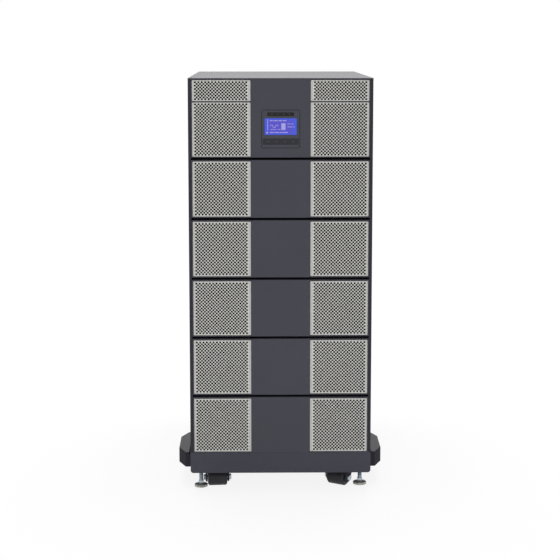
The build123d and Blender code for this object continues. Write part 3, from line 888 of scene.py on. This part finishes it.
class TOWER_OT_rear_grilles(bpy.types.Operator):
    """Press the perforated exhaust plates on the rear panel"""

    bl_idname = "tower.rear_grilles"
    bl_label = "Rear Grilles"

    def execute(self, context):
        sizes = context.scene.tower_grilles
        node = "rear_exhaust_grilles"
        outer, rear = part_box(node)[1].xy
        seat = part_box("rear_panel")[1].y
        inner = sizes.rear_split / 2 - sizes.rear_lip
        bm = bmesh.new()
        patterns = {}
        for row in ("head",) + ROWS[:-1]:
            low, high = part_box(f"{row}_bezel")
            margin = sizes.card_zone if row == "head" else sizes.rear_row_margin
            top = high.z - margin + sizes.rear_lip
            bottom = low.z + sizes.rear_row_margin - sizes.rear_lip
            size = (outer - inner, top - bottom)
            key = round(size[1], 5)
            if key not in patterns:
                patterns[key] = pan_template(
                    f"{row}_exhaust_pattern", size, columns=sizes.rear_columns, pitch=sizes.rear_pitch,
                    radius=sizes.rear_hole, field_shift=0.0, corner=sizes.corner, bend=sizes.rear_bend,
                    depth=rear - seat, row_margin=sizes.rear_lip + sizes.rear_hole,
                )
            for side in SIDES:
                centre = Vector((side * (inner + outer) / 2, rear, (top + bottom) / 2))
                stamp(bm, patterns[key], Matrix.Translation(centre) @ Matrix.Rotation(pi, 4, "Z"))
        piece = new_piece("rear_exhaust_perforated", bm, "chassis_paint", replaced=(node,))
        give_thickness(piece, (rear - seat) * sizes.rear_sheet)
        return {"FINISHED"}


class TOWER_OT_display_marks(bpy.types.Operator):
    """Lay the lit marks on the display, the lamps on the strip and the print on the keys"""

    bl_idname = "tower.display_marks"
    bl_label = "Display Marks"

    # Bars on the display as left, top, right and bottom shares of its window
    BARS = (
        (0.085, 0.06, 0.105, 0.72), (0.055, 0.82, 0.105, 0.92),
        (0.16, 0.12, 0.25, 0.17), (0.27, 0.12, 0.41, 0.17),
        (0.43, 0.12, 0.55, 0.17), (0.57, 0.12, 0.68, 0.17),
        (0.52, 0.30, 0.65, 0.70),
        (0.71, 0.32, 0.80, 0.36), (0.82, 0.32, 0.90, 0.36),
        (0.71, 0.50, 0.86, 0.54), (0.88, 0.50, 0.94, 0.54),
        (0.18, 0.66, 0.36, 0.69), (0.40, 0.66, 0.50, 0.69),
        (0.16, 0.83, 0.30, 0.88), (0.32, 0.83, 0.44, 0.88),
        (0.46, 0.83, 0.53, 0.88), (0.55, 0.83, 0.72, 0.88),
    )
    # Half circles that make the wave, in shares of the window's width and height
    WAVE_START, WAVE_LEVEL, WAVE_RADIUS, WAVE_LINE = 0.215, 0.48, 0.042, 0.016
    WAVE_COUNT, WAVE_STEPS = 3, 10
    # Shoulder of a lamp's dome in shares of its radius and rise
    LAMP_COUNT, LAMP_SHOULDER = 4, (0.8, 0.75)
    # Strokes of each key's mark: offset in half marks, turn in degrees and share of the mark's size
    KEY_STROKES = (
        (((0, 0.4), 0, 0.7), ((0, -0.4), 0, 0.7)),
        (((-0.45, 0), -45, 0.7), ((0.45, 0), 45, 0.7)),
        (((-0.45, 0), 45, 0.7), ((0.45, 0), -45, 0.7)),
        (((0, 0), 45, 0.9), ((0, 0), -45, 0.9)),
    )

    def execute(self, context):
        sizes = context.scene.tower_display
        self.lit_marks(sizes)
        self.status_lamps(sizes)
        self.key_prints(sizes)
        return {"FINISHED"}

    def lit_marks(self, sizes):
        """Bars and a wave on the display's window."""
        low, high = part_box("display_window")
        width = high.x - low.x
        height = high.z - low.z
        bm = bmesh.new()
        for left, top, right, bottom in self.BARS:
            middle = (low.x + width * (left + right) / 2, low.y, high.z - height * (top + bottom) / 2)
            size = (width * (right - left), 2 * sizes.mark_rise, height * (bottom - top))
            bmesh.ops.create_cube(bm, size=1.0, matrix=Matrix.LocRotScale(middle, None, size))
        bars = set(bm.faces)
        radius = width * self.WAVE_RADIUS
        line = width * self.WAVE_LINE
        left = low.x + width * self.WAVE_START
        level = high.z - height * self.WAVE_LEVEL
        for index in range(self.WAVE_COUNT):
            centre = Vector((left + 2 * radius * index, low.y - sizes.mark_rise, level))
            ends = [bm.verts.new(centre + Vector((side * line / 2 - radius, 0, 0))) for side in SIDES]
            edge = bm.edges.new(ends)
            way = 1 if index % 2 else -1
            bmesh.ops.spin(
                bm, geom=ends + [edge], cent=centre, axis=(0, way, 0), dvec=(0, 0, 0), angle=-pi,
                steps=self.WAVE_STEPS, use_merge=False, use_duplicate=False,
            )
        wave = [face for face in bm.faces if face not in bars]
        backed = bmesh.ops.extrude_face_region(bm, geom=wave, use_keep_orig=True)["geom"]
        bmesh.ops.translate(bm, vec=(0, 2 * sizes.mark_rise, 0), verts=only(backed, BMVert))
        bmesh.ops.recalc_face_normals(bm, faces=bm.faces)
        new_piece("display_lit_marks", bm, "display_glass", make=display_marks)

    def status_lamps(self, sizes):
        """Domed lamps along the middle of the status strip."""
        low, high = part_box("status_strip")
        radius, rise = sizes.lamp_radius, sizes.lamp_rise
        shoulder = (radius * self.LAMP_SHOULDER[0], rise * self.LAMP_SHOULDER[1])
        dome = [(0.0, 0.0), (radius, 0.0), shoulder, (0.0, rise)]
        lamp = template(turned(dome, FASTENER_SIDES), "lamp_pattern")
        bm = bmesh.new()
        for x in evenly_spaced(self.LAMP_COUNT, sizes.lamp_pitch):
            stamp(bm, lamp, facing((x, low.y, (low.z + high.z) / 2), (0, -1, 0)))
        new_piece("status_lamps", bm, "status_gloss", make=lamp_lens)

    def key_prints(self, sizes):
        """Printed strokes on the keys."""
        low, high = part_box("keypad")
        level = (low.z + high.z) / 2
        bm = bmesh.new()
        half = sizes.key_mark / 2
        places = evenly_spaced(len(self.KEY_STROKES), sizes.key_pitch)
        for x, strokes in zip(places, self.KEY_STROKES):
            for offset, turn, share in strokes:
                place = Vector((x + offset[0] * half, low.y, level + offset[1] * half))
                size = (sizes.key_mark * share, 2 * sizes.mark_rise, sizes.key_line)
                spin = Matrix.Rotation(radians(turn), 3, "Y").to_quaternion()
                bmesh.ops.create_cube(bm, size=1.0, matrix=Matrix.LocRotScale(place, spin, size))
        new_piece("key_prints", bm, "key_plastic", make=key_print)


class TOWER_OT_screws(bpy.types.Operator):
    """Set the panel screws, the thumb screws of the slot covers and the rivets of the caster plates"""

    bl_idname = "tower.screws"
    bl_label = "Screws and Rivets"

    # Growth and rise of each ring of a screw's head, and lip and depth of its socket, in shares of its size
    HEAD_RINGS = ((1.0, 0.45), (0.86, 0.40), (0.62, 0.15))
    SOCKET_LIP, SOCKET_DEPTH = 0.12, 0.7
    # Distance of a panel screw from the edge, shares of a side's depth and places under the lid's rear edge
    EDGE, SIDE_SHARES = 0.010, (0.1, 0.37, 0.63)
    LID_X, LID_DROP = 0.06, 0.006
    # Distances of a thumb screw from its cover's ends, and step, waist and rounding in shares of its size
    COVER_INNER, COVER_OUTER = 0.0095, 0.0045
    THUMB_STEP, THUMB_WAIST, THUMB_ROUNDING = 0.3, 0.7, 0.12
    # Thickness of a caster plate, distances of its rivets from the swivel and steps in a rivet's dome
    PLATE_SHEET, RIVET_X, RIVET_Y, DOME_STEPS = 0.003, 0.031, 0.024, 4

    def execute(self, context):
        sizes = context.scene.tower_fittings
        head = self.screw_head(sizes.screw_radius, sizes.screw_height)
        self.panel_screws(head)
        self.thumb_screws(sizes)
        self.plate_rivets(sizes)
        return {"FINISHED"}

    def screw_head(self, radius, height):
        """Domed head with a socket."""
        bm = bmesh.new()
        bmesh.ops.create_circle(bm, cap_ends=True, segments=FASTENER_SIDES, radius=radius)
        crown = bm.faces[:]
        for growth, rise in self.HEAD_RINGS:
            grown = bmesh.ops.extrude_face_region(bm, geom=crown)["geom"]
            bmesh.ops.delete(bm, geom=crown, context="FACES_ONLY")
            crown = only(grown, BMFace)
            verts = list({vert for face in crown for vert in face.verts})
            bmesh.ops.scale(bm, vec=(growth, growth, 1), verts=verts)
            bmesh.ops.translate(bm, vec=(0, 0, rise * height), verts=verts)
        bmesh.ops.inset_individual(bm, faces=crown, thickness=radius * self.SOCKET_LIP)
        grown = bmesh.ops.extrude_face_region(bm, geom=crown)["geom"]
        bmesh.ops.delete(bm, geom=crown, context="FACES_ONLY")
        bmesh.ops.translate(bm, vec=(0, 0, -self.SOCKET_DEPTH * height), verts=only(grown, BMVert))
        close_rims(bm)
        return template(bm, "screw_pattern")

    def panel_screws(self, head):
        """Screws round the rear panel, the sides and the terminal cover."""
        rear_low, rear_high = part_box("rear_panel")
        side_low, side_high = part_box("right_side_panel")
        cover_low, cover_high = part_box("terminal_cover")
        inset = self.EDGE
        edge = rear_high.x - inset
        levels = [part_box(f"{row}_bezel")[0].z for row in ROWS + ("head",)] + [rear_high.z - inset]
        bm = bmesh.new()
        for side in SIDES:
            for level in levels:
                lifted = max(level, rear_low.z + inset)
                stamp(bm, head, facing((side * edge, rear_high.y, lifted), (0, 1, 0)))
                stamp(bm, head, facing((side * side_high.x, side_high.y - 2 * inset, lifted), (side, 0, 0)))
            for level in (cover_low.z + 2 * inset, cover_high.z - 2 * inset):
                stamp(bm, head, facing((side * cover_high.x, cover_low.y + inset, level), (side, 0, 0)))
            for share in self.SIDE_SHARES:
                y = side_low.y + share * (side_high.y - side_low.y)
                stamp(bm, head, facing((side * side_high.x, y, side_low.z + inset), (side, 0, 0)))
                stamp(bm, head, facing((side * side_high.x, y, side_high.z - inset), (side, 0, 0)))
        for side in SIDES:
            stamp(bm, head, facing((side * self.LID_X, rear_high.y, rear_high.z - self.LID_DROP), (0, 1, 0)))
        new_piece("panel_screws", bm, "zinc_plate")

    def thumb_screws(self, sizes):
        """Thumb screws at both ends of each slot cover."""
        low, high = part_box("card_slot_covers")
        level = (low.z + high.z) / 2
        radius, rise = sizes.thumb_radius, sizes.thumb_height
        waist, step = radius * self.THUMB_WAIST, rise * self.THUMB_STEP
        outline = softened([
            (0.0, rise), (radius, rise), (radius, step), (waist, step), (waist, 0.0), (0.0, 0.0),
        ], radius * self.THUMB_ROUNDING)
        thumb = template(turned(outline, THUMB_SIDES), "thumb_screw_pattern")
        bm = bmesh.new()
        for side in SIDES:
            for x in (self.COVER_INNER, high.x - self.COVER_OUTER):
                stamp(bm, thumb, facing((side * x, high.y, level), (0, 1, 0)))
        new_piece("thumb_screws", bm, "zinc_plate")

    def plate_rivets(self, sizes):
        """Four rivets under each caster plate."""
        plate_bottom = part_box("caster_plates")[1].z - self.PLATE_SHEET
        radius, rise = sizes.rivet_radius, sizes.rivet_height
        turns = [step * pi / 2 / self.DOME_STEPS for step in range(self.DOME_STEPS)]
        dome = [(radius * cos(turn), rise * sin(turn)) for turn in turns]
        rivet = template(turned([(0.0, 0.0)] + dome + [(0.0, rise)], FASTENER_SIDES), "rivet_pattern")
        bm = bmesh.new()
        for corner in CORNERS:
            x, y = joint(f"{corner}_swivel")["pos_m"][:2]
            for side in SIDES:
                for end in SIDES:
                    place = (x + side * self.RIVET_X, y + end * self.RIVET_Y, plate_bottom)
                    stamp(bm, rivet, facing(place, (0, 0, -1)))
        new_piece("caster_plate_rivets", bm, "zinc_plate")


class TOWER_OT_wheels(bpy.types.Operator):
    """Turn the nylon caster wheels"""

    bl_idname = "tower.wheels"
    bl_label = "Caster Wheels"

    # Half width, bore, bevel and rounding of a wheel, and the sunk face of its hub
    HALF, BORE, EDGE, ROUNDING = 0.0230, 0.0041, 0.0030, 0.0010
    HUB_RADIUS, HUB_SINK = 0.0110, 0.0006

    def execute(self, context):
        for corner in CORNERS:
            node = f"{corner}_caster_wheel"
            low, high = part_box(node)
            profile = self.half_profile((high.z - low.z) / 2)
            mirrored = [(radius, -height) for radius, height in reversed(profile)]
            bm = turned(profile + mirrored + [profile[0]], WHEEL_SIDES)
            place = facing((low + high) / 2, joint(f"{corner}_roll")["axis"])
            bmesh.ops.transform(bm, matrix=place, verts=bm.verts)
            new_piece(f"{corner}_wheel_turned", bm, "wheel_nylon", f"{corner}_wheel", replaced=(node,))
        return {"FINISHED"}

    def half_profile(self, radius):
        """Outline from the bore over a sunk hub face to the middle of the tread."""
        sunk = self.HALF - self.HUB_SINK
        hub = [(self.BORE, sunk), (self.HUB_RADIUS, sunk), (self.HUB_RADIUS + self.HUB_SINK, self.HALF)]
        edge = [(radius - self.EDGE, self.HALF), (radius, self.HALF - self.EDGE), (radius, 0.0)]
        return hub + softened([hub[-1]] + edge, self.ROUNDING)[1:-1]


class TOWER_OT_feet(bpy.types.Operator):
    """Turn the levelling feet and cut the threads of their studs"""

    bl_idname = "tower.feet"
    bl_label = "Levelling Feet"

    # Radii and heights of the pad, its neck, the stud and the hexagon collar
    PAD_RADIUS, PAD_RIM, PAD_TOP, PAD_LIP = 0.0160, 0.0060, 0.0080, 0.0130
    NECK_RADIUS, STUD_RADIUS = 0.0078, 0.0050
    COLLAR_FLATS, COLLAR_LOW, COLLAR_HIGH = 0.0120, 0.0076, 0.0150
    COLLAR_BEVEL, PAD_ROUNDING, SEAT = 0.0010, 0.0012, 0.0005
    # Crest of a thread's tooth in shares of its pitch, steps in a turn and chamfer of the stud's point
    CREST, THREAD_STEPS, POINT = (0.45, 0.55), 16, 0.0010

    def execute(self, context):
        sizes = context.scene.tower_fittings
        for corner in CORNERS:
            node = f"{corner}_levelling_foot"
            body = f"{corner}_foot"
            low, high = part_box(node)
            base = ((low.x + high.x) / 2, (low.y + high.y) / 2, low.z)
            pad = self.pad()
            bmesh.ops.translate(pad, vec=base, verts=pad.verts)
            new_piece(f"{corner}_foot_pad_turned", pad, "zinc_plate", body, pad_steel, (node,))
            stud = self.stud(high.z - low.z, sizes)
            bmesh.ops.translate(stud, vec=base, verts=stud.verts)
            new_piece(f"{corner}_foot_stud_threaded", stud, "zinc_plate", body)
        return {"FINISHED"}

    def pad(self):
        """Pad with a rolled rim and a low neck, standing on the origin."""
        return turned(softened([
            (0.0, 0.0), (self.PAD_RADIUS, 0.0), (self.PAD_RADIUS, self.PAD_RIM),
            (self.PAD_LIP, self.PAD_RIM), (self.NECK_RADIUS, self.PAD_TOP), (0.0, self.PAD_TOP),
        ], self.PAD_ROUNDING), WHEEL_SIDES)

    def stud(self, height, sizes):
        """Hexagon collar and threaded stud, standing over the origin."""
        bm = bmesh.new()
        self.add_collar(bm)
        self.add_thread(bm, self.COLLAR_HIGH - 2 * self.SEAT, height, sizes)
        return bm

    def add_collar(self, bm):
        """Hexagon nut with bevelled ends."""
        depth = self.COLLAR_HIGH - self.COLLAR_LOW
        middle = Matrix.Translation((0, 0, (self.COLLAR_HIGH + self.COLLAR_LOW) / 2))
        across = self.COLLAR_FLATS / sqrt(3)
        verts = bmesh.ops.create_cone(
            bm, cap_ends=True, cap_tris=False, segments=6, radius1=across, radius2=across, depth=depth,
            matrix=middle,
        )["verts"]
        edges = {edge for vert in verts for edge in vert.link_edges}
        ends = [edge for edge in edges if abs(edge.verts[0].co.z - edge.verts[1].co.z) < depth / 2]
        bmesh.ops.bevel(
            bm, geom=ends, offset=self.COLLAR_BEVEL, affect="EDGES", segments=2, profile=0.5, material=-1
        )

    def add_thread(self, bm, low, high, sizes):
        """Helical thread from a spun tooth, closed by a chamfered point."""
        steps = self.THREAD_STEPS
        pitch = sizes.thread_pitch
        turns = int((high - low) / pitch) - 1
        root = self.STUD_RADIUS - sizes.thread_depth
        outline = [(root, 0.0)] + [(self.STUD_RADIUS, share) for share in self.CREST] + [(root, 1.0)]
        tooth = [bm.verts.new((radius, 0, low + rise * pitch)) for radius, rise in outline]
        edges = [bm.edges.new(pair) for pair in zip(tooth, tooth[1:])]
        bmesh.ops.spin(
            bm, geom=tooth + edges, cent=(0, 0, 0), axis=(0, 0, 1), dvec=(0, 0, pitch / steps),
            angle=tau * turns, steps=steps * turns, use_merge=False, use_duplicate=False,
        )
        bmesh.ops.remove_doubles(bm, verts=bm.verts, dist=MERGE)
        close_rims(bm)
        point = [(root, high - self.POINT), (root - self.POINT, high)]
        core = turned([(0.0, low), (root, low)] + point + [(0.0, high)], steps)
        stamp(bm, template(core, "stud_core"), Matrix.Identity(4))


class TOWER_OT_stage(bpy.types.Operator):
    """Lay the floor and set the lamps and the camera"""

    bl_idname = "tower.stage"
    bl_label = "Studio"

    # Place, size and power setting of each lamp
    LAMPS = {
        "key_lamp": ((-1.3, -4.4, 2.8), 2.4, "key_power"),
        "fill_lamp": ((1.4, -4.4, 2.2), 2.4, "fill_power"),
        "top_lamp": ((0.0, 0.6, 3.2), 2.2, "top_power"),
    }
    FLOOR_TONES = ((0.84, 0.84, 0.84, 1.0), (0.88, 0.88, 0.88, 1.0))
    WHITE = (1.0, 1.0, 1.0, 1.0)

    def execute(self, context):
        sizes = context.scene.tower_stage
        context.scene.view_settings.view_transform = "Standard"
        self.floor(context, sizes)
        self.world(context, sizes)
        for name, (place, size, power) in self.LAMPS.items():
            self.lamp(context, name, place, size, getattr(sizes, power))
        self.camera(context, sizes)
        return {"FINISHED"}

    @staticmethod
    def seen(shader):
        """Mask of the rays that see the background: straight, mirrored or through glass."""
        kinds = ("Camera", "Glossy", "Transmission")
        rays = [shader.node("ShaderNodeLightPath", output=f"Is {kind} Ray") for kind in kinds]
        return reduce(Term.larger, rays)

    def floor(self, context, sizes):
        """Pale floor that keeps the tower's shadow and turns to plain white further out."""
        bm = bmesh.new()
        bmesh.ops.create_grid(bm, x_segments=8, y_segments=8, size=sizes.floor_size / 2)
        mesh = bpy.data.meshes.new("studio_floor")
        bm.to_mesh(mesh)
        bm.free()
        material, shader = new_shader("studio_floor")
        pale = shader.blend(shader.noise(0.8), *self.FLOOR_TONES)
        matt = shader.node("ShaderNodeBsdfPrincipled", {}, {"Base Color": pale, "Roughness": 0.9})
        white = shader.node("ShaderNodeEmission", {}, {"Color": self.WHITE, "Strength": 1.0})
        far = shader.node("ShaderNodeVectorMath", {"operation": "LENGTH"}, {0: shader.place()}, "Value")
        fade = shader.node("ShaderNodeMapRange", {"interpolation_type": "SMOOTHSTEP"}, {
            "Value": far, "From Min": sizes.shadow_near, "From Max": sizes.shadow_far,
            "To Min": sizes.near_white, "To Max": 1.0,
        })
        mixed = shader.node("ShaderNodeMixShader", {}, {0: self.seen(shader) * fade, 1: matt, 2: white})
        shader.node("ShaderNodeOutputMaterial", {}, {"Surface": mixed})
        mesh.materials.append(material)
        plane = bpy.data.objects.new("studio_floor", mesh)
        context.scene.collection.objects.link(plane)

    def world(self, context, sizes):
        """White surroundings that light the tower less from the sides."""
        world = bpy.data.worlds.new("studio_world")
        world.use_nodes = True
        context.scene.world = world
        shader = Shader(world.node_tree)
        direction = shader.node("ShaderNodeTexCoord", output="Generated")
        sideways = shader.node("ShaderNodeSeparateXYZ", {}, {0: direction}, "X")
        level = sizes.ambient * (1.0 - sizes.side_fall * sideways * sideways)
        strength = level + (1.0 - level) * self.seen(shader)
        light = shader.node("ShaderNodeBackground", {}, {"Color": self.WHITE, "Strength": strength})
        shader.node("ShaderNodeOutputWorld", {}, {"Surface": light})

    @staticmethod
    def lamp(context, name, place, size, power):
        """Square lamp that faces the middle of the tower."""
        data = bpy.data.lights.new(name, "AREA")
        data.size = size
        data.energy = power
        lamp = bpy.data.objects.new(name, data)
        lamp.location = place
        target = (CAD_BOX[0] + CAD_BOX[1]) / 2
        lamp.rotation_euler = (target - Vector(place)).to_track_quat("-Z", "Y").to_euler()
        context.scene.collection.objects.link(lamp)

    @staticmethod
    def camera(context, sizes):
        """Camera in front of the tower."""
        data = bpy.data.cameras.new("studio_camera")
        data.lens = sizes.lens
        data.shift_y = sizes.shift
        camera = bpy.data.objects.new("studio_camera", data)
        camera.location = sizes.camera_place
        camera.rotation_euler = (pi / 2 - sizes.pitch, 0.0, -sizes.yaw)
        context.scene.collection.objects.link(camera)
        context.scene.camera = camera


OPERATORS = (
    TOWER_OT_paint_nodes,
    TOWER_OT_front_grilles,
    TOWER_OT_rear_grilles,
    TOWER_OT_display_marks,
    TOWER_OT_screws,
    TOWER_OT_wheels,
    TOWER_OT_feet,
    TOWER_OT_stage,
)
SETTINGS = {
    "tower_finishes": TowerFinishes,
    "tower_grilles": TowerGrilles,
    "tower_display": TowerDisplay,
    "tower_fittings": TowerFittings,
    "tower_stage": TowerStage,
}


class TOWER_PT_dresser(bpy.types.Panel):
    """Sidebar panel with the tower's operators and settings"""

    bl_idname = "TOWER_PT_dresser"
    bl_label = "Power Tower"
    bl_space_type = "VIEW_3D"
    bl_region_type = "UI"
    bl_category = "Power Tower"

    def draw(self, context):
        for operator in OPERATORS:
            self.layout.operator(operator.bl_idname)
        for name, group in SETTINGS.items():
            box = self.layout.box()
            for key in group.__annotations__:
                box.prop(getattr(context.scene, name), key)


CLASSES = tuple(SETTINGS.values()) + OPERATORS + (TOWER_PT_dresser,)


def register():
    for cls in CLASSES:
        bpy.utils.register_class(cls)
    for name, group in SETTINGS.items():
        setattr(bpy.types.Scene, name, bpy.props.PointerProperty(type=group))


def unregister():
    for name in SETTINGS:
        delattr(bpy.types.Scene, name)
    for cls in reversed(CLASSES):
        bpy.utils.unregister_class(cls)


def main():
    """Register the classes and make every piece in order."""
    register()
    bpy.ops.tower.paint_nodes()
    bpy.ops.tower.front_grilles()
    bpy.ops.tower.rear_grilles()
    bpy.ops.tower.display_marks()
    bpy.ops.tower.screws()
    bpy.ops.tower.wheels()
    bpy.ops.tower.feet()
    bpy.ops.tower.stage()


if __name__ == "__main__":
    main()
